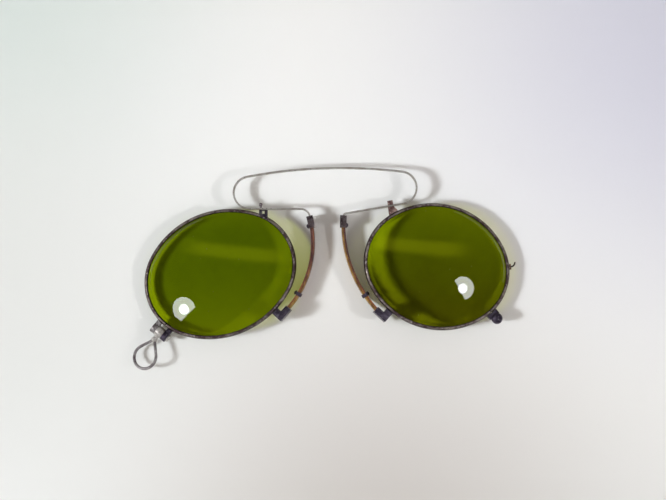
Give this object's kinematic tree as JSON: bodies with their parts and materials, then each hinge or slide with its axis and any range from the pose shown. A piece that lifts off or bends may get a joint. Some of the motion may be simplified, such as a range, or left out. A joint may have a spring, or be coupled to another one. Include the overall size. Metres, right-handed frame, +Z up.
{
  "type": "pince-nez",
  "caption": "Hoop-spring pince-nez with green oval lenses in thin steel rims, curved nose guards, screwed closing joints, a teardrop cord bail and a small catch hook.",
  "frame": {"origin": "on the table under the middle of the object's bounding box", "axes": "+X from the left lens to the right lens as they lie face up, +Y towards the spring hoop, +Z up out of the lenses' domed fronts"},
  "size_m": [0.0971, 0.0504, 0.0083],
  "materials": {
    "rim_steel": "worn, tarnished",
    "spring_steel": "satin, worn",
    "bright_steel": "polished, worn",
    "bail_steel": "polished, worn",
    "dark_steel": "blued, worn",
    "bronze_solder": "dull, tarnished",
    "guard_band": "dark red lacquer",
    "shell_facing": "amber brown, polished",
    "lens_glass": "dark olive green, polished"
  },
  "bodies": {
    "spring": {"spring_bow": "spring_steel"},
    "left_half": {"left_spring_leaf": "spring_steel", "left_rim": "rim_steel", "left_lens": "lens_glass", "left_spring_stud": "rim_steel", "left_stud_pin": "bright_steel", "left_guard_cap": "dark_steel", "left_guard_band": "guard_band", "left_guard_pad": "shell_facing", "left_pad_clip": "dark_steel", "left_pad_rivets": "dark_steel", "left_foot_block": "dark_steel", "left_foot_gusset": "dark_steel", "left_closing_knuckle_upper": "dark_steel", "left_closing_knuckle_lower": "dark_steel", "left_closing_screw": "bright_steel"},
    "right_half": {"right_spring_leaf": "spring_steel", "right_rim": "rim_steel", "right_lens": "lens_glass", "right_spring_stud": "bronze_solder", "right_stud_screw": "bronze_solder", "right_guard_cap": "dark_steel", "right_guard_band": "guard_band", "right_guard_pad": "shell_facing", "right_pad_clip": "dark_steel", "right_pad_rivets": "dark_steel", "right_foot_block": "dark_steel", "right_foot_gusset": "dark_steel", "right_closing_lug_front": "dark_steel", "right_closing_lug_back": "dark_steel", "right_closing_screw": "dark_steel", "catch_base": "bronze_solder", "catch_hook": "dark_steel"},
    "bail": {"bail_knuckle": "bright_steel", "bail_loop": "bail_steel"}
  },
  "joints": [
    {"name": "left_opening", "type": "hinge", "parent": "spring", "child": "left_half", "pos_m": [-0.01008, 0.02433, 0.0044], "axis": [0, 0, -1], "range_deg": [-4, 14], "stiffness_Nm_per_rad": 0.12},
    {"name": "right_opening", "type": "hinge", "parent": "spring", "child": "right_half", "pos_m": [0.01192, 0.02465, 0.0044], "axis": [0, 0, 1], "range_deg": [-4, 14], "stiffness_Nm_per_rad": 0.12},
    {"name": "bail_swing", "type": "hinge", "parent": "left_half", "child": "bail", "pos_m": [-0.04155, -0.01571, 0.00335], "axis": [-0.7748, 0.6276, -0.0761], "range_deg": [-125, 130]}
  ],
  "couplings": [
    {"joint": "right_opening", "follows": "left_opening", "ratio": 1}
  ]
}
